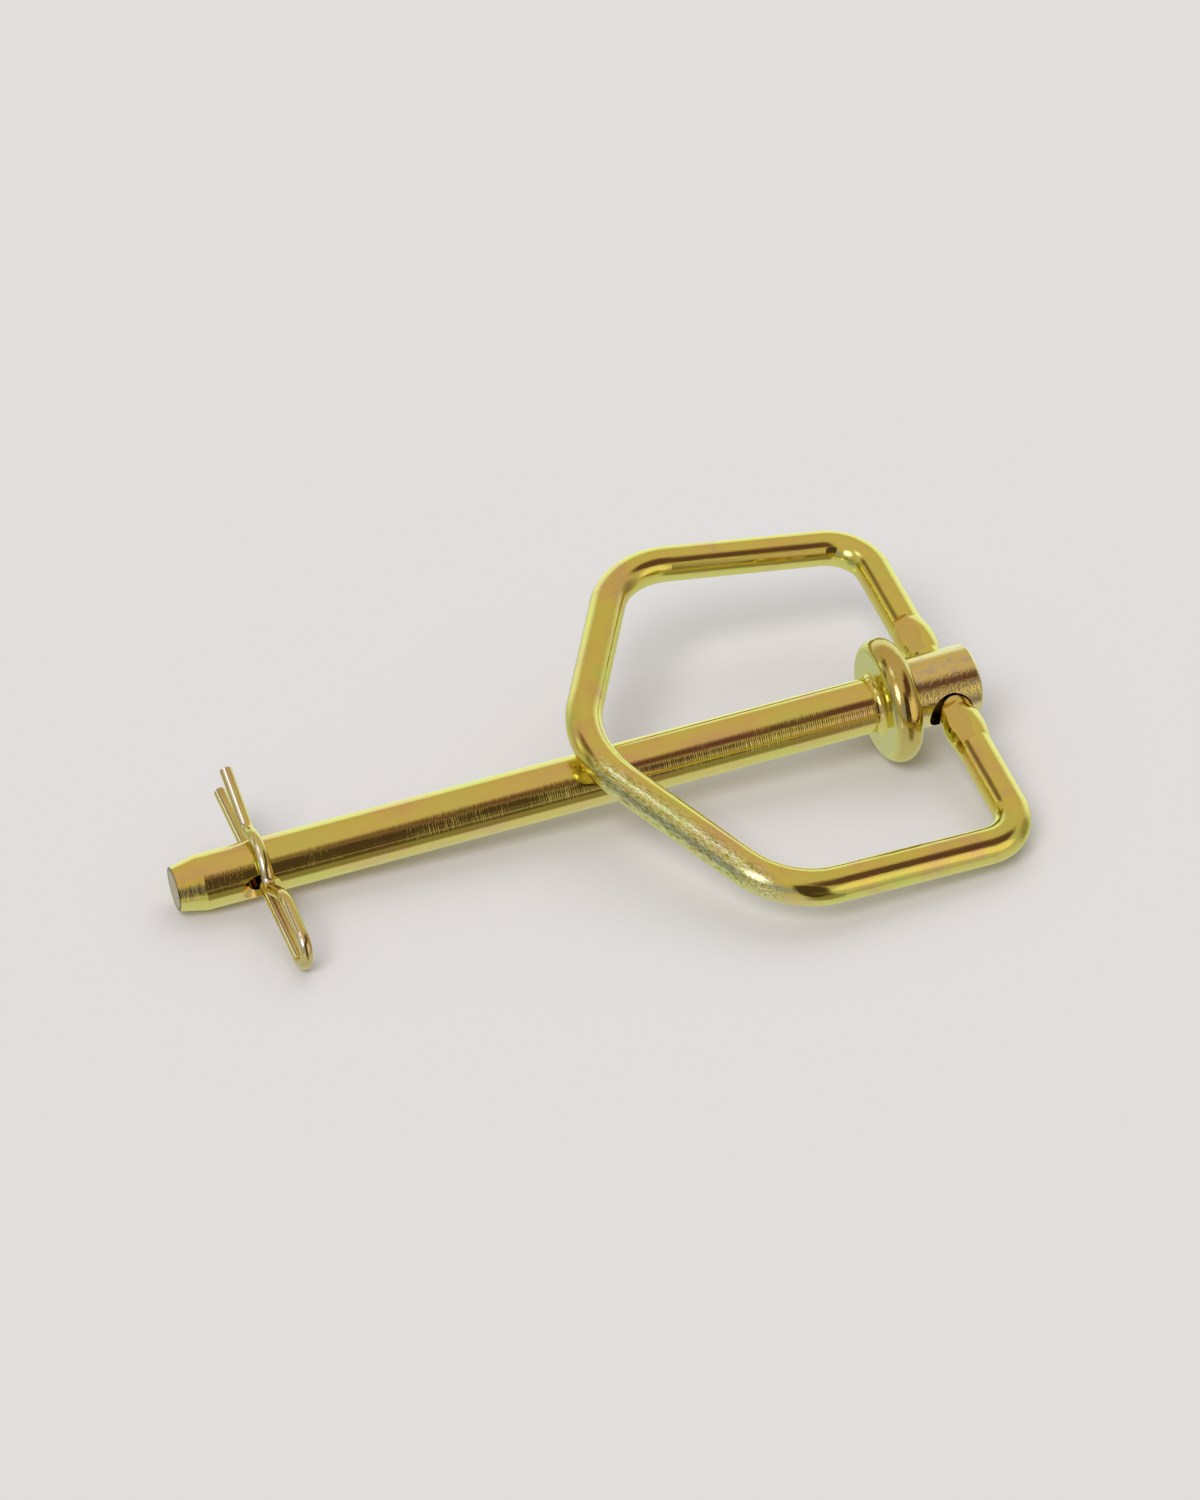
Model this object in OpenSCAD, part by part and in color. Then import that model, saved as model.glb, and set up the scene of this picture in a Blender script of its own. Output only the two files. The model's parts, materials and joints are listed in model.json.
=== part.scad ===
// Swivel hitch pin: a headed drawbar pin, a bent bar handle that swings on the head, and a
// hairpin clip through the tip. It lies as it comes to rest on a flat floor: on the flange, on
// the nose and on the clip's ring. Millimetres, origin at the centre of the flange's seat face.

/* [Shank] */
// Diameter of the shank
shank_d = 15.875; // [14:0.125:20]
// Length from the flange's seat face to the tip
shank_len = 207.8; // [165:1:300]
// Length of the tapered nose
nose_len = 7.6; // [5:0.1:12]
// Diameter of the flat end of the nose
nose_end_d = 12.6; // [9:0.1:13.5]
// Radius of the fillet where the shank meets the flange
neck_fillet = 2; // [1:0.1:4]

/* [Flange and head] */
// Diameter of the flange over its bulged rim
flange_d = 36.4; // [34:0.1:46]
// Thickness of the flange
flange_thk = 8.7; // [6:0.1:11]
// Diameter of the flat part of each flange face
flange_face_d = 30.4; // [28:0.1:32]
// Diameter of the head
head_d = 20.8; // [18.5:0.1:26]
// Length of the head behind the flange
head_len = 20.7; // [19:0.1:28]
// Chamfer round the end of the head
head_chamfer = 0.7; // [0.3:0.1:1.5]
// Distance from the flange's seat face back to the handle's swing axis
axle_back = 20.2; // [18:0.1:21]

/* [Handle] */
// Diameter of the handle's bar
bar_d = 10.4; // [9:0.1:13]
// Width of the handle at the swing axis, over the bar's centre lines
handle_base_w = 122.8; // [100:0.5:160]
// How far each side leans out by the shoulder
handle_splay = 5.8; // [0:0.1:12]
// Distance from the swing axis to the shoulders
shoulder_reach = 74.6; // [60:0.5:95]
// Distance from the swing axis to the point where the two front bars would meet
peak_reach = 111.7; // [105:0.5:140]
// Centre line radius of the bends at the two base corners
base_bend = 13; // [10:0.5:20]
// Centre line radius of the bends at the two shoulders
shoulder_bend = 24; // [15:0.5:30]
// Centre line radius of the bend at the peak
peak_bend = 33; // [20:0.5:45]

/* [Handle crimps] */
// Length of each pressed stretch beside the head
crimp_len = 14.6; // [10:0.1:18]
// Width of the punches that press it from above and below
punch_w = 4.6; // [4:0.1:5.5]
// How deep each punch sinks into the bar
punch_depth = 0.7; // [0.4:0.05:1.2]
// Angle by which the upper punch leans towards the tip
crimp_turn = 33; // [0:1:60]
// How far the pressed metal swells past the bar on the side of the head's end
swell_back = 1; // [0.5:0.1:1.6]
// How far it swells on the side of the tip
swell_front = 0.5; // [0.3:0.1:1.6]

/* [Clip] */
// Diameter of the clip's wire
wire_d = 3.5; // [2.5:0.1:4.2]
// Distance from the tip back to the clip's cross hole
clip_hole_back = 22.85; // [20:0.1:40]
// Diameter of the countersink at each mouth of the clip's hole
clip_sink_d = 11.2; // [9.5:0.1:12]
// Length of the straight leg past the shank's centre
leg_tail = 30.5; // [25:0.5:45]
// Distance from the shank's centre to the far end of the ring
ring_reach = 40.3; // [36:0.1:60]
// Height of the ring over the wire's centre lines
ring_h = 11.8; // [11:0.1:14]
// Distance from the shank's centre to the end of the flared leg
flare_tail = 26; // [22:0.5:35]
// Angle of the flared leg to the straight leg
flare_a = 17.5; // [10:0.5:25]

/* [Fits] */
// Radial clearance of the handle's bar in the head
axle_play = 1.4; // [0.4:0.05:1.6]
// How far the bar sits behind the centre of its hole
axle_set = 0.7; // [0:0.05:1]
// How far the bar sits above the centre of its hole
axle_rise = 0.8; // [0:0.05:1]
// Radial clearance of the clip's wire in its hole
clip_play = 1.3; // [0.5:0.05:2.2]
// How far the wire sits behind the centre of its hole
clip_set = 0.85; // [0:0.05:1.8]
// Gap left where one piece rests on another
rest_gap = 0.3; // [0.2:0.05:0.5]

/* [Hidden] */
$fn = 96;

// The whole part is drawn along its shank: X to the tip, Y along the swing axis, Z up.
shank_r = shank_d / 2;
flange_r = flange_d / 2;
head_r = head_d / 2;
bar_r = bar_d / 2;
wire_r = wire_d / 2;
axle_hole_r = bar_r + axle_play;
// The bar never sits so far off the hole's centre that it would touch its wall.
axle_off = min(1, (axle_play - rest_gap) / norm([axle_set, axle_rise])) * [axle_set, axle_rise];
clip_hole_r = wire_r + clip_play;
clip_hole_x = shank_len - clip_hole_back;
wire_x = clip_hole_x - min(clip_set, clip_play - 0.4);

// The rim bulges on one arc that runs from face to face.
rim_bulge = flange_r - flange_face_d / 2;
rim_r = (pow(flange_thk / 2, 2) + pow(rim_bulge, 2)) / (2 * rim_bulge);

// Bends are a hair fuller than the straights, which run a little way into them.
bend_fuller = 0.02;
bend_lap = 0.3;

// Handle: half the gap between the two bar ends that meet inside the head
end_gap = 0.5;
crimp_start = head_r + 0.6;
peak_half_turn = atan2(peak_reach - shoulder_reach, handle_base_w / 2 + handle_splay);
peak_centre = peak_reach - peak_bend * (1 / cos(peak_half_turn) - 1);
// The peak of the handle lies on the shank, which lifts the handle by this angle.
handle_lift = asin((shank_r + bar_r + rest_gap) / peak_centre);

// Clip: its wire rides on the shank along a saddle, and nips in beside it on both sides.
clip_skew = 2;
clip_lean = 3.3;
saddle_r = shank_r + wire_r + rest_gap;
saddle_from = 120;
nip_bend = 5;
nip_lead = 0.4;
neck_bend = 3.2;
neck_h = wire_d + rest_gap;
// The saddle ends where a short straight and the neck's bend bring the wire down to its neck height.
neck_a = asin((neck_h + neck_bend) / norm([saddle_r + neck_bend, nip_lead]))
    + atan2(nip_lead, saddle_r + neck_bend);
ring_rise_a = 37;
ring_shoulder_bend = 9;
ring_fall = 1.9;
ring_end_bend = (ring_h - ring_fall) / 2;

function heading(a) = [cos(a), sin(a)];
// Where the two straights meet that a bend of this centre and radius joins, from one heading to another
function bend_corner(centre, radius, from, to) =
    centre + radius / cos((to - from) / 2) * heading((from + to) / 2 + (to > from ? -90 : 90));

saddle_corner = bend_corner([0, 0], saddle_r, saddle_from - 90, neck_a - 90);
neck_centre = (saddle_r + neck_bend) * heading(neck_a) + nip_lead * heading(neck_a - 90);
neck_corner = bend_corner(neck_centre, neck_bend, neck_a - 90, ring_rise_a);
nip_setback = nip_bend * tan((saddle_from - 90 + flare_a) / 2);
nip_corner = saddle_r * heading(saddle_from) - (nip_setback + nip_lead) * heading(saddle_from - 90);
flare_len = (flare_tail + nip_corner[0]) / cos(flare_a);
flare_end = nip_corner + flare_len * heading(180 - flare_a);
ring_shoulder = neck_corner + (ring_h - neck_corner[1]) / sin(ring_rise_a) * heading(ring_rise_a);

// At rest the shank's nose and the flange's rim touch the floor, which sets the pitch. The end of
// the clip's ring, or the handle's near corner if that is lower, touches it too, which sets the roll.
touch_x = shank_len - nose_len;
rim_drop = flange_r - rim_r - shank_r;
rest_pitch = atan2(rim_drop, touch_x + flange_thk / 2)
    + asin(rim_r / norm([touch_x + flange_thk / 2, rim_drop]));
floor_z = -touch_x * sin(rest_pitch) - shank_r * cos(rest_pitch);
function up_vector(roll) =
    [-sin(rest_pitch), -sin(roll) * cos(rest_pitch), cos(roll) * cos(rest_pitch)];
leg_dir = [-sin(clip_skew), cos(clip_skew), 0];
ring_dir = [-sin(clip_lean) * cos(clip_skew), -sin(clip_lean) * sin(clip_skew), cos(clip_lean)];
function ring_low(up) = wire_x * up[0]
    + (ring_reach - ring_end_bend) * (leg_dir * up) + ring_end_bend * (ring_dir * up)
    - ring_end_bend * norm([leg_dir * up, ring_dir * up]) - wire_r;
handle_dir = [cos(handle_lift), 0, sin(handle_lift)];
corner_y = handle_base_w / 2 - base_bend * tan((90 - atan(handle_splay / shoulder_reach)) / 2);
function corner_low(up) = -axle_back * up[0] + base_bend * (handle_dir * up) + corner_y * up[1]
    - base_bend * norm([handle_dir * up, up[1]]) - bar_r;
// Halves the bracket until the lower one just meets the floor
function find_roll(low = 0, high = 40, tries = 24) =
    let (mid = (low + high) / 2)
    tries == 0 ? mid
        : min(ring_low(up_vector(mid)), corner_low(up_vector(mid))) > floor_z ? find_roll(mid, high, tries - 1)
        : find_roll(low, mid, tries - 1);
rest_roll = find_roll();

// Stands the part, drawn along its shank, in the pose in which it lies on the floor
module at_rest() {
    rotate([-rest_roll, rest_pitch, 0]) children();
}

// A cylinder along X from one place to another
module along_x(from, to, r) {
    translate([from, 0, 0]) rotate([0, 90, 0]) cylinder(r = r, h = to - from);
}

// A round bar bent in the XY plane: through corner points, with a centre line radius at each inner one
module bent_bar(points, bends, r) {
    last = len(points) - 1;
    angles = [for (i = [0 : last - 1]) let (d = points[i + 1] - points[i]) atan2(d[1], d[0])];
    turns = [for (i = [1 : last - 1]) let (t = angles[i] - angles[i - 1]) t > 180 ? t - 360 : t < -180 ? t + 360 : t];
    setbacks = [0, for (i = [0 : last - 2]) bends[i] * tan(abs(turns[i]) / 2), 0];
    for (i = [0 : last - 1]) {
        from = setbacks[i] - (i > 0 ? bend_lap : 0);
        to = norm(points[i + 1] - points[i]) - setbacks[i + 1] + (i < last - 1 ? bend_lap : 0);
        translate([points[i][0], points[i][1], 0]) rotate([0, 0, angles[i]]) along_x(from, to, r);
    }
    for (i = [1 : last - 1]) {
        side = sign(turns[i - 1]);
        centre = points[i] - setbacks[i] * heading(angles[i - 1]) + side * bends[i - 1] * heading(angles[i - 1] + 90);
        translate([centre[0], centre[1], 0])
            rotate([0, 0, side > 0 ? angles[i - 1] - 90 : angles[i] + 90])
                rotate_extrude(angle = abs(turns[i - 1])) translate([bends[i - 1], 0]) circle(r = r + bend_fuller);
    }
}

// Half section of the flange, drawn from its seat face up to its back face
module flange_section() {
    intersection() {
        union() {
            square([flange_r - rim_r, flange_thk]);
            translate([flange_r - rim_r, flange_thk / 2]) circle(r = rim_r);
        }
        square([flange_r, flange_thk]);
    }
}

// Half section of the fillet ring round the foot of the shank
module neck_section() {
    difference() {
        square([shank_r + neck_fillet, neck_fillet]);
        translate([shank_r + neck_fillet, neck_fillet]) circle(r = neck_fillet);
    }
}

module turned_blank() {
    along_x(0, touch_x, shank_r);
    translate([touch_x, 0, 0]) rotate([0, 90, 0]) cylinder(r1 = shank_r, r2 = nose_end_d / 2, h = nose_len);
    rotate([0, 90, 0]) rotate_extrude() neck_section();
    rotate([0, -90, 0]) rotate_extrude() flange_section();
    head_end = flange_thk + head_len;
    along_x(head_chamfer - head_end, -flange_thk, head_r);
    translate([-head_end, 0, 0]) rotate([0, 90, 0])
        cylinder(r1 = head_r - head_chamfer, r2 = head_r, h = head_chamfer);
}

// The clip's hole, with a countersink at each mouth
module clip_hole() {
    sink_depth = clip_sink_d / 2 - clip_hole_r;
    translate([clip_hole_x, 0, 0]) for (side = [-1, 1]) rotate([-90 * side, 0, 0]) {
        cylinder(r = clip_hole_r, h = shank_r + 1);
        translate([0, 0, shank_r - sink_depth])
            cylinder(r1 = clip_hole_r, r2 = clip_sink_d / 2 + 1, h = sink_depth + 1);
    }
}

module hitch_pin() {
    color("#C9A94E") at_rest() difference() {
        turned_blank();
        translate([axle_off[0] - axle_back, 0, -axle_off[1]]) rotate([90, 0, 0])
            cylinder(r = axle_hole_r, h = head_d + 2, center = true);
        clip_hole();
    }
}

// The swelling of one crimp, along Y from its start, which runs out inside the bar at both ends
module crimp_barrel() {
    half = crimp_len / 2;
    sink = 0.5;
    swell = (swell_back + swell_front) / 2;
    arc_r = (half * half + pow(swell + sink, 2)) / (2 * (swell + sink));
    rotate([0, crimp_turn, 0]) translate([(swell_front - swell_back) / 2, crimp_start + half, 0])
        rotate([-90, 0, 0]) rotate_extrude() intersection() {
            translate([bar_r + swell - arc_r, 0]) circle(r = arc_r);
            translate([0, -half]) square([bar_r + swell, crimp_len]);
        }
}

// What the dies take off above and below one crimp: a broad flat with a deeper one along its middle
module crimp_dies() {
    broad = bar_r - punch_depth / 4;
    rotate([0, crimp_turn, 0]) for (side = [-1, 1]) scale([1, 1, side])
        translate([0, crimp_start + crimp_len, 0]) rotate([90, 0, 0]) linear_extrude(height = crimp_len) polygon([
            [-head_d, broad], [-punch_w / 2, broad], [-punch_w / 2, bar_r - punch_depth],
            [punch_w / 2, bar_r - punch_depth], [punch_w / 2, broad], [head_d, broad],
            [head_d, head_d], [-head_d, head_d]
        ]);
}

module swivel_handle() {
    corners = [
        [0, end_gap],
        [0, handle_base_w / 2],
        [shoulder_reach, handle_base_w / 2 + handle_splay],
        [peak_reach, 0],
        [shoulder_reach, -handle_base_w / 2 - handle_splay],
        [0, -handle_base_w / 2],
        [0, -end_gap]
    ];
    color("#C4A548") at_rest() translate([-axle_back, 0, 0]) rotate([0, -handle_lift, 0]) difference() {
        union() {
            bent_bar(corners, [base_bend, shoulder_bend, peak_bend, shoulder_bend, base_bend], bar_r);
            for (side = [-1, 1]) scale([1, side, 1]) crimp_barrel();
        }
        for (side = [-1, 1]) scale([1, side, 1]) crimp_dies();
    }
}

module hairpin_clip() {
    corners = [
        flare_end,
        nip_corner,
        saddle_corner,
        neck_corner,
        ring_shoulder,
        [ring_reach, ring_h - ring_fall],
        [ring_reach, 0],
        [-leg_tail, 0]
    ];
    color("#B99A3E") at_rest() translate([wire_x, 0, 0]) rotate([0, 0, clip_skew]) rotate([0, -clip_lean, 0])
        rotate([90, 0, 90])
            bent_bar(corners, [nip_bend, saddle_r, neck_bend, ring_shoulder_bend, ring_end_bend, ring_end_bend], wire_r);
}

hitch_pin();
swivel_handle();
hairpin_clip();
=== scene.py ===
"""The looks of a swivel hitch pin: a turned steel pin with a swinging bail handle and a hairpin
clip, all yellow zinc plated, lying on a pale studio table."""
import json
import math

import bmesh
import bpy
from mathutils import Euler, Matrix, Vector


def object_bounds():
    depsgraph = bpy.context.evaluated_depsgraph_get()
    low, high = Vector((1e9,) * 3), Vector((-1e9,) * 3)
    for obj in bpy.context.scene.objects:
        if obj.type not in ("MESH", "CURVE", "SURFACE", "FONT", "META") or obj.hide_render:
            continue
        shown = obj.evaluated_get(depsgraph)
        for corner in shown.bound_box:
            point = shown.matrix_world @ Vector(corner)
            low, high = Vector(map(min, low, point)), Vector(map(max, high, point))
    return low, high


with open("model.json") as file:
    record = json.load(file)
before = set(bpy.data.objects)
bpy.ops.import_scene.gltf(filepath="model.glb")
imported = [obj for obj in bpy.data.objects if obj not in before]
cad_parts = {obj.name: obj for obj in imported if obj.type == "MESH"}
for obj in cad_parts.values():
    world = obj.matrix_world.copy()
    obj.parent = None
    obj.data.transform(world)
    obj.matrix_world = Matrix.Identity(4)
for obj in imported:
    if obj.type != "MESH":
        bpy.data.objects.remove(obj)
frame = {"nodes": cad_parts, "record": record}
cad_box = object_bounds()
scene = bpy.context.scene

# --------------------------------------------------------------------------------------------------
# The stand and the camera. The part lies on its flange, its nose and the ring of its clip, and is
# looked down on from the side that the clip pulls out to, through a long lens.
# --------------------------------------------------------------------------------------------------

CAMERA_PLACE = (0.45241, 1.05424, 0.79397)  # metres
CAMERA_TURN = (54.7588, 0.7919, 160.1294)   # degrees

lens = bpy.data.cameras.new("table_camera")
lens.lens = 117.46
lens.sensor_width = 36.0
lens.clip_start = 0.05
lens.clip_end = 30.0
camera = bpy.data.objects.new("table_camera", lens)
camera.location = CAMERA_PLACE
camera.rotation_euler = Euler([math.radians(turn) for turn in CAMERA_TURN])
scene.collection.objects.link(camera)
scene.camera = camera

# --------------------------------------------------------------------------------------------------
# The studio: a plain pale table top under two soft lamps. The room round it is what the plating
# mirrors: a pale wall behind, a warm ceiling, a big soft window and an unlit side.
# --------------------------------------------------------------------------------------------------


def linear(hex_colour):
    """An sRGB hex colour as linear red, green and blue, with an alpha of one."""
    parts = [int(hex_colour[i:i + 2], 16) / 255 for i in (1, 3, 5)]
    return [c / 12.92 if c <= 0.04045 else ((c + 0.055) / 1.055) ** 2.4 for c in parts] + [1.0]


def add(tree, kind, settings=None, **links):
    """Adds a node with its settings, and fills its sockets with values or other nodes' outputs.

    A socket goes by its name, with _ for a space, or by its number, as i0, i1 and so on."""
    node = tree.nodes.new("ShaderNode" + kind)
    for name, value in (settings or {}).items():
        setattr(node, name, value)
    for name, value in links.items():
        numbered = name[0] == "i" and name[1:].isdigit()
        socket = node.inputs[int(name[1:]) if numbered else name.replace("_", " ")]
        if isinstance(value, bpy.types.NodeSocket):
            tree.links.new(value, socket)
        else:
            socket.default_value = value
    return node


def heading(azimuth, elevation):
    """The unit vector that points that way, with azimuth from +X towards +Y, both in degrees."""
    a, e = math.radians(azimuth), math.radians(elevation)
    return Vector((math.cos(a) * math.cos(e), math.sin(a) * math.cos(e), math.sin(e)))


TABLE_PAINT = "#E4E0DF"
TABLE_REACH = 4.0   # metres from its middle to each edge
ROOM_LEVEL = 0.52   # how strongly the pale room lights the object

table_mesh = bpy.data.meshes.new("table_top")
top = bmesh.new()
bmesh.ops.create_grid(top, x_segments=1, y_segments=1, size=TABLE_REACH,
                      matrix=Matrix.Translation((0.0, 0.0, cad_box[0][2])))
top.to_mesh(table_mesh)
top.free()
table = bpy.data.objects.new("table_top", table_mesh)
scene.collection.objects.link(table)
# The plating mirrors the room, which has a table top of its own, and not this one
table.visible_glossy = False

# Matt paint looks the same pale tone from every side, with no shine
paint = bpy.data.materials.new("matt_table_paint")
paint.use_nodes = True
tree = paint.node_tree
tree.nodes.clear()
matt = add(tree, "BsdfDiffuse", Color=linear(TABLE_PAINT))
add(tree, "OutputMaterial", Surface=matt.outputs[0])
table_mesh.materials.append(paint)

for name, azimuth, elevation, strength, spread in (
        ("window_lamp", 45, 50, 1.35, 30),
        ("ceiling_lamp", -120, 55, 0.5, 50)):
    lamp = bpy.data.lights.new(name, "SUN")
    lamp.energy = strength
    lamp.angle = math.radians(spread)
    lamp_object = bpy.data.objects.new(name, lamp)
    lamp_object.rotation_euler = heading(azimuth, elevation).to_track_quat("Z", "Y").to_euler()
    lamp_object.visible_glossy = False
    scene.collection.objects.link(lamp_object)

room = bpy.data.worlds.new("studio_room")
room.use_nodes = True
scene.world = room
tree = room.node_tree
tree.nodes.clear()
look = add(tree, "TexCoord").outputs["Generated"]
height = add(tree, "SeparateXYZ", Vector=look).outputs["Z"]
level = add(tree, "MapRange", i0=height, i1=-1.0, i2=1.0).outputs[0]
# From the table straight below, past the horizon half way up, to the ceiling
walls = add(tree, "ValToRGB", Fac=level)
for share, colour in (
        (0.00, (0.76, 0.86, 1.10)),
        (0.25, (0.70, 0.75, 0.80)),
        (0.40, (0.60, 0.61, 0.64)),
        (0.50, (0.55, 0.54, 0.56)),
        (0.70, (0.66, 0.60, 0.52)),
        (0.85, (0.72, 0.62, 0.50)),
        (1.00, (0.73, 0.64, 0.60))):
    stops = walls.color_ramp.elements
    stop = stops[0] if share == 0.0 else stops[-1] if share == 1.0 else stops.new(share)
    stop.position = share
    stop.color = (*colour, 1.0)
mirrored = walls.outputs["Color"]
# What stands in the room, each thing in front of those before it: where it is (azimuth and
# elevation), half its width and height and how soft its edge is, on a ball of radius one, and how
# bright it is in red, green and blue, where 1 is white
for azimuth, elevation, wide, tall, soft, colour in (
        (-109, -38, 0.42, 0.42, 0.60, (0.58, 0.61, 0.36)),       # the darker far side of the table
        (-115, 2, 1.05, 0.58, 0.45, (1.12, 1.33, 1.80)),         # the pale wall behind it
        (2, -8, 0.36, 0.58, 0.60, (0.37, 0.43, 0.66)),           # a grey corner
        (-35, -4, 0.30, 0.26, 0.70, (0.60, 0.56, 0.34)),         # a shelf beside it
        (-33, 38, 0.28, 0.26, 0.55, (0.24, 0.18, 0.14)),         # a dark picture
        (-21, 11, 0.12, 0.38, 0.60, (0.22, 0.17, 0.15)),         # a dark lamp stand
        (-36, 11, 0.13, 0.15, 0.60, (1.05, 1.20, 1.00)),         # its pale shade
        (-35, -31, 0.15, 0.13, 0.70, (1.25, 1.30, 1.40)),        # its gleam in the table
        (-74, -37, 0.22, 0.22, 0.70, (0.68, 0.72, 1.05)),        # white card on the table
        (0, 56, 0.22, 0.21, 0.80, (1.45, 1.75, 2.80)),           # a roof light
        (62, 6, 0.28, 0.42, 0.60, (0.42, 0.48, 0.88)),           # cool daylight on the near wall
        (102, -34, 0.42, 0.32, 0.50, (0.31, 0.29, 0.21)),        # the table's shadowed near edge
        (89.5, 14, 0.315, 0.85, 0.16, (0.085, 0.062, 0.055)),    # the unlit side of the room
        (104, -17, 0.12, 0.13, 0.50, (0.13, 0.10, 0.07)),        # a dark chair at its foot
        (102, -5, 0.36, 0.035, 0.80, (0.50, 0.38, 0.30)),        # a thin line of light across it
        (138, 42, 0.66, 0.28, 0.40, (0.15, 0.075, 0.09)),        # a brown curtain
        (132, 6, 0.54, 0.38, 0.45, (1.15, 1.03, 0.92)),          # warm lamplight below it
        (-178, -4, 0.34, 0.60, 0.60, (0.38, 0.35, 0.28)),        # a grey cabinet
        (39, -23, 0.13, 0.10, 0.80, (1.5, 1.8, 2.5)),            # the window in the table's sheen
        (35, 29, 0.29, 0.38, 0.70, (2.8, 3.5, 6.2))):            # the big soft window
    off = add(tree, "VectorMath", {"operation": "SUBTRACT"},
              i0=look, i1=heading(azimuth, elevation)).outputs[0]
    off = add(tree, "VectorMath", {"operation": "MULTIPLY"},
              i0=off, i1=(1 / wide, 1 / wide, 1 / tall)).outputs[0]
    far = add(tree, "VectorMath", {"operation": "LENGTH"}, i0=off).outputs["Value"]
    inside = add(tree, "MapRange", {"interpolation_type": "SMOOTHSTEP"},
                 i0=far, i1=1.0, i2=1.0 - soft).outputs[0]
    mirrored = add(tree, "MixRGB",
                   Fac=inside, Color1=mirrored, Color2=(*colour, 1.0)).outputs[0]
ray = add(tree, "LightPath")
seen = add(tree, "MixRGB", Fac=ray.outputs["Is Glossy Ray"],
           Color1=(1.0, 1.0, 1.0, 1.0), Color2=mirrored).outputs[0]
# Beyond the table's edge the eye sees its colour again, so that no edge shows from low down
seen = add(tree, "MixRGB", Fac=ray.outputs["Is Camera Ray"],
           Color1=seen, Color2=linear(TABLE_PAINT)).outputs[0]
full = add(tree, "Math", {"operation": "MAXIMUM"},
           i0=ray.outputs["Is Glossy Ray"], i1=ray.outputs["Is Camera Ray"]).outputs[0]
gain = add(tree, "MapRange", i0=full, i3=ROOM_LEVEL, i4=1.0).outputs[0]
light = add(tree, "Background", Color=seen, Strength=gain)
add(tree, "OutputWorld", Surface=light.outputs[0])
scene.view_settings.view_transform = "Standard"

# --------------------------------------------------------------------------------------------------
# The pin: one piece of medium carbon steel, upset at the flange, turned all over, cross drilled
# twice and then yellow zinc plated. The turning leaves fine rings round the shank, and the head and
# the flange's rim are duller and grainier.
# --------------------------------------------------------------------------------------------------

MM = 0.001
# Where each finish starts to show and where it is complete, in millimetres: along the pin from the
# flange's seat, and out from its axis
NECK_ALONG = (1.5, 3.0)
HEAD_ALONG = (-8.0, -9.4)
END_ALONG = (207.5, 207.75)
BURR_OUT = (4.9, 5.7)
FLANGE_OUT = (9.0, 10.5)
RIM_OUT = (15.5, 17.3)
# Where the feed rings start to show, and where they are at their best
FEED_ALONG = (150.0, 70.0)
# How far the tool moved along at each turn, in millimetres. The bands of the pattern repeat every
# tau / 20 of its own units, so this scale gives one band to a turn
FEED = 0.65
FEED_SCALE = math.tau / 20 / FEED

shank_axis = Vector(frame["record"]["mounts"][0]["axis"]).normalized()
swing = frame["record"]["behaviour"]["joints"][0]
side_axis = -Vector(swing["axis"]).normalized()
pin_axes = Matrix((shank_axis, side_axis, shank_axis.cross(side_axis))).transposed()


def yellow_zinc(name, drift_mm, stretch, tones):
    """Yellow chromate over bright zinc: a mirror whose straw film drifts in clouds to green, rose
    and grey.

    The clouds are drift_mm across, and longer each way that stretch is more than one. Gives the
    material, its tree, the coordinates it reads, the film's colour and the metal, so that each
    piece can add its own marks."""
    plating = bpy.data.materials.new(name)
    plating.use_nodes = True
    tree = plating.node_tree
    tree.nodes.clear()
    place = add(tree, "TexCoord").outputs["Object"]
    along = add(tree, "Mapping", {"vector_type": "TEXTURE"}, Vector=place,
                Rotation=pin_axes.to_euler(), Scale=stretch).outputs[0]
    drift = add(tree, "TexNoise", Vector=along, Scale=1 / (drift_mm * MM), Detail=4.0,
                Roughness=0.6)
    film = add(tree, "ValToRGB", Fac=drift.outputs[0])
    for value, tone in zip((0.0, 0.38, 0.46, 0.54, 0.62, 1.0), tones):
        stops = film.color_ramp.elements
        stop = stops[0] if value == 0.0 else stops[-1] if value == 1.0 else stops.new(value)
        stop.position = value
        stop.color = linear(tone)
    # At a grazing angle the film gives way to a pale yellow green
    metal = add(tree, "BsdfPrincipled", Metallic=1.0, Specular_Tint=linear("#F7F8D1"))
    add(tree, "OutputMaterial", Surface=metal.outputs[0])
    return plating, tree, place, film.outputs[0], metal


def plate(node, plating, tree, metal, colour, gloss, relief):
    """Joins a piece's own colour, gloss and relief to its metal, and puts the material on it."""
    tree.links.new(colour, metal.inputs["Base Color"])
    tree.links.new(gloss, metal.inputs["Roughness"])
    tree.links.new(relief.outputs[0], metal.inputs["Normal"])
    for slot in frame["nodes"][node].material_slots:
        slot.material = plating


# Turned steel below the film makes a clear mirror with fine lines across it
pin_plating, tree, place, film, metal = yellow_zinc(
    "yellow_zinc_on_turned_steel", 9, (2.5, 1.0, 1.0),
    ("#CBC96C", "#D5C967", "#DAC765", "#DBC269", "#DABA70", "#CBAF7C"))
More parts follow.
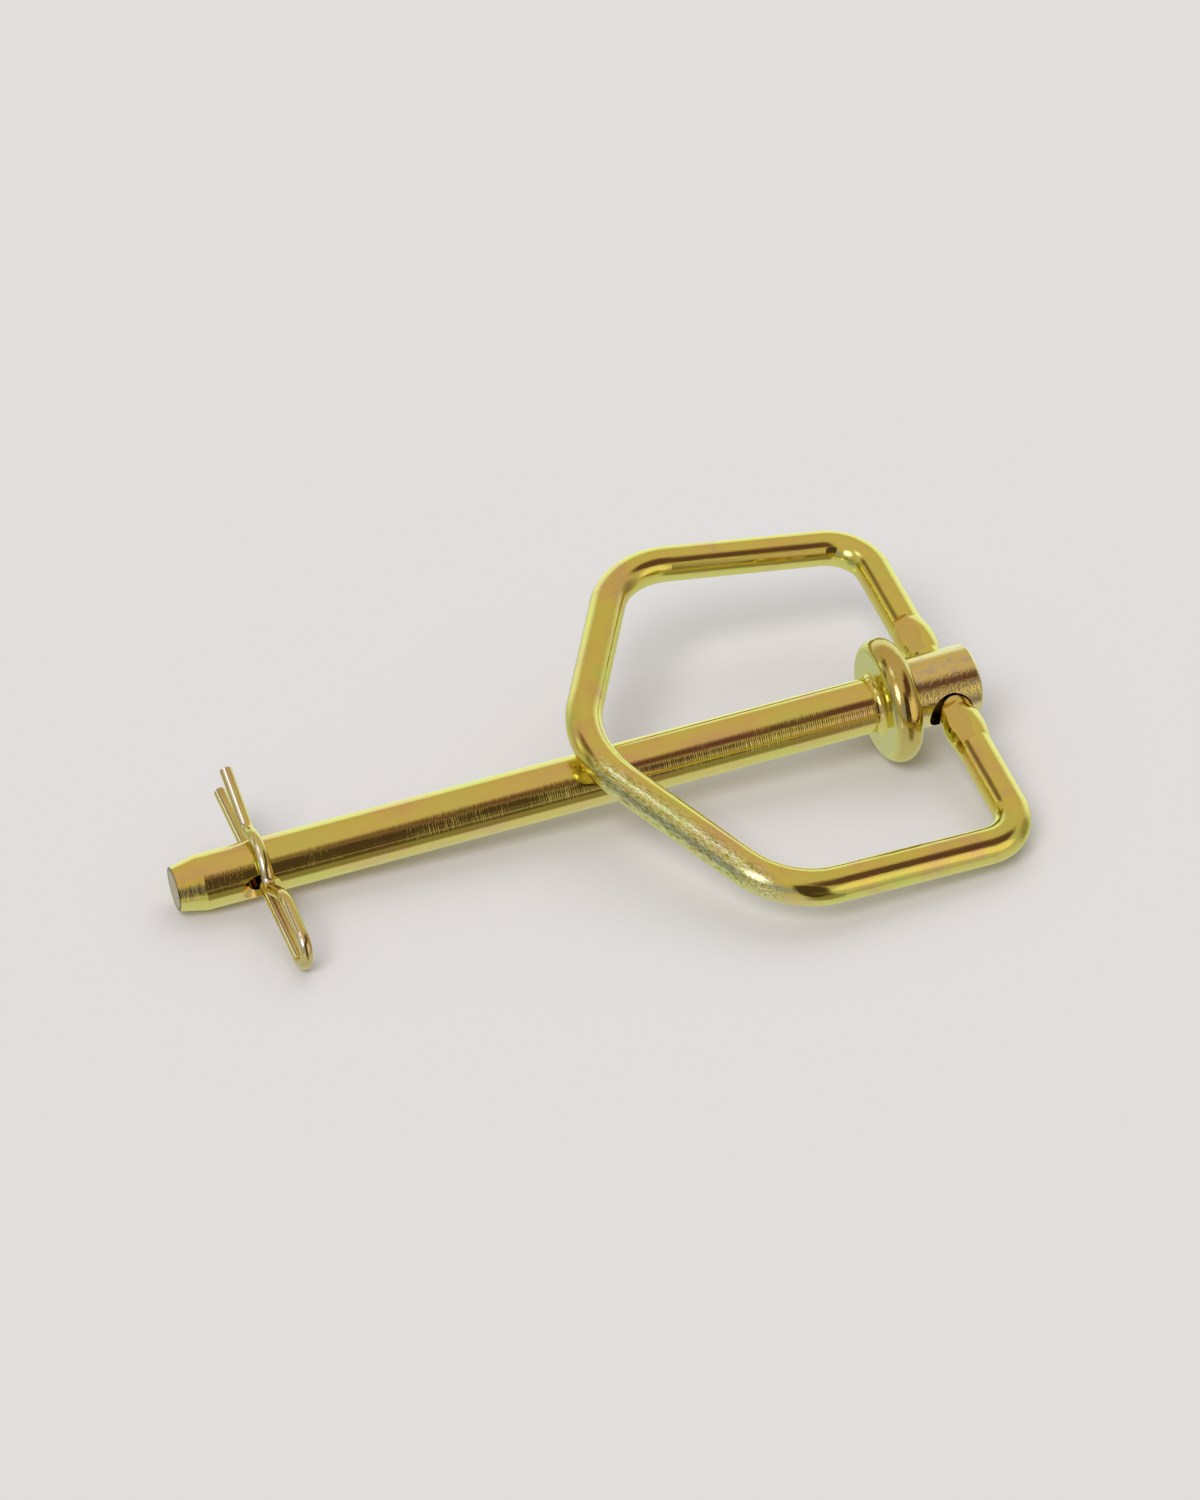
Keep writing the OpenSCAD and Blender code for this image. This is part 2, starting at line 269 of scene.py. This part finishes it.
# The pin's own directions, in millimetres from the flange's seat
pin_mm = add(tree, "Mapping", {"vector_type": "TEXTURE"}, Vector=place,
             Rotation=pin_axes.to_euler(), Scale=(MM, MM, MM)).outputs[0]
station = add(tree, "SeparateXYZ", Vector=pin_mm).outputs["X"]
off_axis = add(tree, "VectorMath", {"operation": "MULTIPLY"},
               i0=pin_mm, i1=(0.0, 1.0, 1.0)).outputs[0]
off_axis = add(tree, "VectorMath", {"operation": "LENGTH"}, i0=off_axis).outputs["Value"]
on_shank = add(tree, "MapRange",
               i0=station, i1=NECK_ALONG[0], i2=NECK_ALONG[1], i3=0.25).outputs[0]
on_head = add(tree, "MapRange", i0=station, i1=HEAD_ALONG[0], i2=HEAD_ALONG[1]).outputs[0]
on_end = add(tree, "MapRange", i0=station, i1=END_ALONG[0], i2=END_ALONG[1]).outputs[0]
# Rings left by the turning tool, about 1.3 mm wide, which come and go along the shank. They are
# drawn coarser than the real ones, so that they show
rings = add(tree, "VectorMath", {"operation": "MULTIPLY"},
            i0=pin_mm, i1=(1.0, 0.1, 0.1)).outputs[0]
ring = add(tree, "TexNoise", Vector=rings, Scale=0.75, Detail=4.0, Roughness=0.75).outputs[0]
patch = add(tree, "TexNoise", Vector=pin_mm, Scale=0.09, Detail=2.0, Roughness=0.5).outputs[0]
patch = add(tree, "MapRange", i0=patch, i1=0.42, i2=0.62, i3=0.25).outputs[0]
# Grey scuffs 2 to 5 mm long, where the head has been knocked
scuff = add(tree, "VectorMath", {"operation": "MULTIPLY"},
            i0=pin_mm, i1=(0.6, 1.0, 1.4)).outputs[0]
scuff = add(tree, "TexNoise", Vector=scuff, Scale=0.33, Detail=5.0, Roughness=0.65,
            Distortion=0.6).outputs[0]
scuff = add(tree, "MapRange", i0=scuff, i1=0.52, i2=0.64, i4=0.75).outputs[0]
scuff = add(tree, "Math", {"operation": "MULTIPLY"}, i0=scuff, i1=on_head).outputs[0]
# The flange's film is even and pale, browner on its bulging rim, and the head's is rosier
on_flange = add(tree, "MapRange",
                i0=off_axis, i1=FLANGE_OUT[0], i2=FLANGE_OUT[1], i4=0.8).outputs[0]
pale = add(tree, "MixRGB", Fac=on_flange, Color1=film, Color2=linear("#D2D078")).outputs[0]
on_rim = add(tree, "MapRange", i0=off_axis, i1=RIM_OUT[0], i2=RIM_OUT[1], i4=0.65).outputs[0]
brown = add(tree, "MixRGB", Fac=on_rim, Color1=pale, Color2=linear("#C29C50")).outputs[0]
rose = add(tree, "MixRGB", Fac=on_head, Color1=brown, Color2=linear("#DDC678")).outputs[0]
grey = add(tree, "MixRGB", Fac=scuff, Color1=rose, Color2=linear("#C2B496")).outputs[0]
# The sawn end has hardly any film, and a dark burr round it
burr = add(tree, "MapRange", i0=off_axis, i1=BURR_OUT[0], i2=BURR_OUT[1]).outputs[0]
sawn = add(tree, "MixRGB",
           Fac=burr, Color1=linear("#BCA884"), Color2=linear("#6E5438")).outputs[0]
bare = add(tree, "MixRGB", Fac=on_end, Color1=grey, Color2=sawn).outputs[0]
# The rings vary the gloss, the upset skin is a little duller, and the sawn end is dull
gloss = add(tree, "MapRange", i0=ring, i1=0.3, i2=0.7, i3=0.045, i4=0.08).outputs[0]
upset = add(tree, "Math", {"operation": "MAXIMUM"}, i0=on_head, i1=on_rim).outputs[0]
duller = add(tree, "Math", {"operation": "MULTIPLY"}, i0=upset, i1=0.02).outputs[0]
gloss = add(tree, "Math", {"operation": "ADD"}, i0=gloss, i1=duller).outputs[0]
dull = add(tree, "Math", {"operation": "MULTIPLY"}, i0=on_end, i1=0.30).outputs[0]
gloss = add(tree, "Math", {"operation": "MAXIMUM"}, i0=gloss, i1=dull).outputs[0]
patch = add(tree, "Math", {"operation": "MULTIPLY"}, i0=patch, i1=on_shank).outputs[0]
relief = add(tree, "Bump", Height=ring, Strength=patch, Distance=0.07 * MM)
# The tool's feed shows as fine even rings, best on the half towards the flange
feed = add(tree, "TexWave", {"wave_type": "BANDS", "bands_direction": "X"}, Vector=pin_mm,
           Scale=FEED_SCALE, Distortion=1.2, Detail=2.0, Detail_Scale=0.8).outputs["Fac"]
near = add(tree, "MapRange", i0=station, i1=FEED_ALONG[0], i2=FEED_ALONG[1], i3=0.3).outputs[0]
near = add(tree, "Math", {"operation": "MULTIPLY"}, i0=near, i1=patch).outputs[0]
relief = add(tree, "Bump", Height=feed, Strength=near, Distance=0.008 * MM,
             Normal=relief.outputs[0])
# The skin of the head and the rim is grainy all over, where the bar was upset and only skimmed.
# The grain is drawn 0.8 mm across, coarser than the real one, so that it shows
skin = add(tree, "TexNoise", Vector=pin_mm, Scale=1.3, Detail=3.0, Roughness=0.6).outputs[0]
relief = add(tree, "Bump", Height=skin, Strength=upset, Distance=0.07 * MM,
             Normal=relief.outputs[0])
plate("hitch_pin", pin_plating, tree, metal, bare, gloss, relief)

# --------------------------------------------------------------------------------------------------
# The handle: a drawn steel bar, bent five times, its two ends pressed beside the head, and plated
# after bending. It is the smoothest piece, with draw marks along it and one side that has rubbed.
# --------------------------------------------------------------------------------------------------

LIFT = 7.214         # degrees that it is raised from the pin's own plane, lying on the shank
SIDE_TURN = 4.4      # degrees between each side bar and the way out to the peak
FRONT_TURN = 61.1    # degrees between each front bar and the same way
DIE_TURN = 33.0      # degrees that the dies leaned from straight down
PEAK_OUT = 111.7     # millimetres from where it swings to its peak
# Where each finish starts to show and where it is complete, in millimetres: sideways from the
# middle of the handle, and out from where it swings
SIDE_BARS = (46.0, 56.0)
FRONT_BARS = (62.0, 78.0)
DIE_MARKS = (27.0, 25.5)
# The same for the rubbing on the near front bar: along it from the peak, at its start and its end,
# then outwards from the bar's middle, and up
RUB_START = (2.0, 14.0)
RUB_END = (84.0, 72.0)
RUB_OUTWARDS = (0.2, -2.3)
RUB_UP = (-3.2, -1.0)

handle_axes = pin_axes @ Matrix.Rotation(-math.radians(LIFT), 3, "Y")
# Drawn bar below the film makes the clearest mirror, with long faint streaks
handle_plating, tree, place, film, metal = yellow_zinc(
    "yellow_zinc_on_drawn_bar", 13, (1.0, 1.0, 1.0),
    ("#C6C968", "#D2CB65", "#DACA63", "#DAC567", "#D8BC70", "#CBB07C"))
# The handle's own directions, in millimetres from where it swings: out to the peak, sideways, up
handle_mm = add(tree, "Mapping", {"vector_type": "TEXTURE"}, Vector=place,
                Location=swing["pos_m"], Rotation=handle_axes.to_euler(),
                Scale=(MM, MM, MM)).outputs[0]
split = add(tree, "SeparateXYZ", Vector=handle_mm)
out, across, up = split.outputs
sideways = add(tree, "Math", {"operation": "ABSOLUTE"}, i0=across).outputs[0]
mirrored_mm = add(tree, "CombineXYZ", i0=out, i1=sideways, i2=up).outputs[0]
# Draw marks run along each straight of the bar: the base bars, the two sides and the two front
# bars. They are drawn 0.7 mm wide and 23 mm long, wider than the real ones, so that they show
marks = []
for turn, stretch in ((0.0, (0.8, 25.0, 0.8)),
                      (SIDE_TURN, (25.0, 0.8, 0.8)),
                      (-FRONT_TURN, (25.0, 0.8, 0.8))):
    lined = add(tree, "Mapping", {"vector_type": "TEXTURE"}, Vector=mirrored_mm,
                Rotation=(0.0, 0.0, math.radians(turn)), Scale=stretch).outputs[0]
    marks.append(add(tree, "TexNoise", Vector=lined, Scale=1.1, Detail=4.0,
                     Roughness=0.7).outputs[0])
on_side = add(tree, "MapRange", i0=sideways, i1=SIDE_BARS[0], i2=SIDE_BARS[1]).outputs[0]
on_front = add(tree, "MapRange", i0=out, i1=FRONT_BARS[0], i2=FRONT_BARS[1]).outputs[0]
drawn = add(tree, "MixRGB", Fac=on_side, Color1=marks[0], Color2=marks[1]).outputs[0]
drawn = add(tree, "MixRGB", Fac=on_front, Color1=drawn, Color2=marks[2]).outputs[0]
# Where the near front bar has rubbed: a grainy, duller stretch along its upper outer side, with
# highlights and dark reflections painted on it
front_mm = add(tree, "Mapping", {"vector_type": "TEXTURE"}, Vector=handle_mm,
               Location=(PEAK_OUT, 0.0, 0.0),
               Rotation=(0.0, 0.0, math.radians(180.0 - FRONT_TURN))).outputs[0]
front = add(tree, "SeparateXYZ", Vector=front_mm)
rub = add(tree, "MapRange",
          i0=front.outputs[0], i1=RUB_START[0], i2=RUB_START[1]).outputs[0]
rub_far = add(tree, "MapRange",
              i0=front.outputs[0], i1=RUB_END[0], i2=RUB_END[1]).outputs[0]
rub_out = add(tree, "MapRange",
              i0=front.outputs[1], i1=RUB_OUTWARDS[0], i2=RUB_OUTWARDS[1]).outputs[0]
rub = add(tree, "Math", {"operation": "MULTIPLY"}, i0=rub, i1=rub_far).outputs[0]
rub = add(tree, "Math", {"operation": "MULTIPLY"}, i0=rub, i1=rub_out).outputs[0]
rub_up = add(tree, "MapRange", i0=up, i1=RUB_UP[0], i2=RUB_UP[1]).outputs[0]
rub = add(tree, "Math", {"operation": "MULTIPLY"}, i0=rub, i1=rub_up).outputs[0]
# The grit left scratches a third of a millimetre wide and five times as long. Along them, pale
# flecks are a painted highlight and dark green-brown streaks are a painted dark reflection
grit_mm = add(tree, "VectorMath", {"operation": "MULTIPLY"},
              i0=front_mm, i1=(0.20, 1.0, 1.0)).outputs[0]
grit = add(tree, "TexNoise", Vector=grit_mm, Scale=3.0, Detail=3.0, Roughness=0.7).outputs[0]
painted_glints = add(tree, "MapRange", i0=grit, i1=0.50, i2=0.64, i4=0.85).outputs[0]
painted_glints = add(tree, "Math", {"operation": "MULTIPLY"}, i0=painted_glints, i1=rub).outputs[0]
painted_dark_streaks = add(tree, "MapRange", i0=grit, i1=0.50, i2=0.38, i4=0.9).outputs[0]
painted_dark_streaks = add(tree, "Math", {"operation": "MULTIPLY"}, i0=painted_dark_streaks, i1=rub).outputs[0]
# Painted highlight in pale flecks, then painted dark reflection in green-brown streaks
colour = add(tree, "MixRGB", Fac=painted_glints, Color1=film, Color2=linear("#E0E0C0")).outputs[0]
colour = add(tree, "MixRGB", Fac=painted_dark_streaks, Color1=colour, Color2=linear("#7A8248")).outputs[0]
# The flats that the dies pressed are given a rosier film
die_way = handle_axes @ heading(0.0, 90.0 - DIE_TURN)
facing = add(tree, "TexCoord").outputs["Normal"]
facing = add(tree, "VectorMath", {"operation": "DOT_PRODUCT"},
             i0=facing, i1=die_way).outputs["Value"]
pressed = add(tree, "MapRange", i0=facing, i1=0.985, i2=0.998, i4=0.55).outputs[0]
by_head = add(tree, "MapRange", i0=sideways, i1=DIE_MARKS[0], i2=DIE_MARKS[1]).outputs[0]
pressed = add(tree, "Math", {"operation": "MULTIPLY"}, i0=pressed, i1=by_head).outputs[0]
streaky = add(tree, "MapRange", i0=drawn, i1=0.40, i2=0.60, i3=0.4).outputs[0]
pressed = add(tree, "Math", {"operation": "MULTIPLY"}, i0=pressed, i1=streaky).outputs[0]
colour = add(tree, "MixRGB", Fac=pressed, Color1=colour, Color2=linear("#D8B276")).outputs[0]
# The draw marks vary the gloss, and the rubbed stretch is duller
gloss = add(tree, "MapRange", i0=drawn, i1=0.3, i2=0.7, i3=0.06, i4=0.12).outputs[0]
duller = add(tree, "Math", {"operation": "MULTIPLY"}, i0=rub, i1=0.08).outputs[0]
gloss = add(tree, "Math", {"operation": "ADD"}, i0=gloss, i1=duller).outputs[0]
grit_deep = add(tree, "Math", {"operation": "MULTIPLY"}, i0=rub, i1=0.75).outputs[0]
relief = add(tree, "Bump", Height=drawn, Strength=0.6, Distance=0.06 * MM)
relief = add(tree, "Bump", Height=grit, Strength=grit_deep, Distance=0.055 * MM,
             Normal=relief.outputs[0])
plate("swivel_handle", handle_plating, tree, metal, colour, gloss, relief)

# --------------------------------------------------------------------------------------------------
# The clip: hard drawn spring wire, bent cold to an R, with a straight leg for the hole and a saddle
# that snaps over the shank. It is plated last, and its film comes out browner than the other two.
# --------------------------------------------------------------------------------------------------

# Spring wire below the film makes a browner, faintly pitted mirror
clip_plating, tree, place, film, metal = yellow_zinc(
    "yellow_zinc_on_spring_wire", 6, (1.0, 2.0, 1.0),
    ("#C2BA68", "#CDC26E", "#D2C270", "#CFB870", "#C8AC74", "#BC9C72"))
# Small pits and specks in the wire's skin, drawn about 1 mm across, coarser than the real ones, so
# that they show
clip_mm = add(tree, "Mapping", {"vector_type": "TEXTURE"}, Vector=place,
              Scale=(MM, MM, MM)).outputs[0]
specks = add(tree, "TexNoise", Vector=clip_mm, Scale=0.9, Detail=3.0, Roughness=0.7).outputs[0]
gloss = add(tree, "MapRange", i0=specks, i1=0.3, i2=0.7, i3=0.06, i4=0.14).outputs[0]
relief = add(tree, "Bump", Height=specks, Strength=1.0, Distance=0.03 * MM)
# A painted highlight: the side of the wire that faces up towards the big soft window is painted
# near white
highlight_way = heading(37, 40)
facing = add(tree, "TexCoord").outputs["Normal"]
facing = add(tree, "VectorMath", {"operation": "DOT_PRODUCT"},
             i0=facing, i1=highlight_way).outputs["Value"]
painted_highlight = add(tree, "MapRange", {"interpolation_type": "SMOOTHSTEP"},
             i0=facing, i1=0.88, i2=0.97, i4=0.9).outputs[0]
colour = add(tree, "MixRGB", Fac=painted_highlight, Color1=film, Color2=linear("#F4ECC8")).outputs[0]
plate("hairpin_clip", clip_plating, tree, metal, colour, gloss, relief)
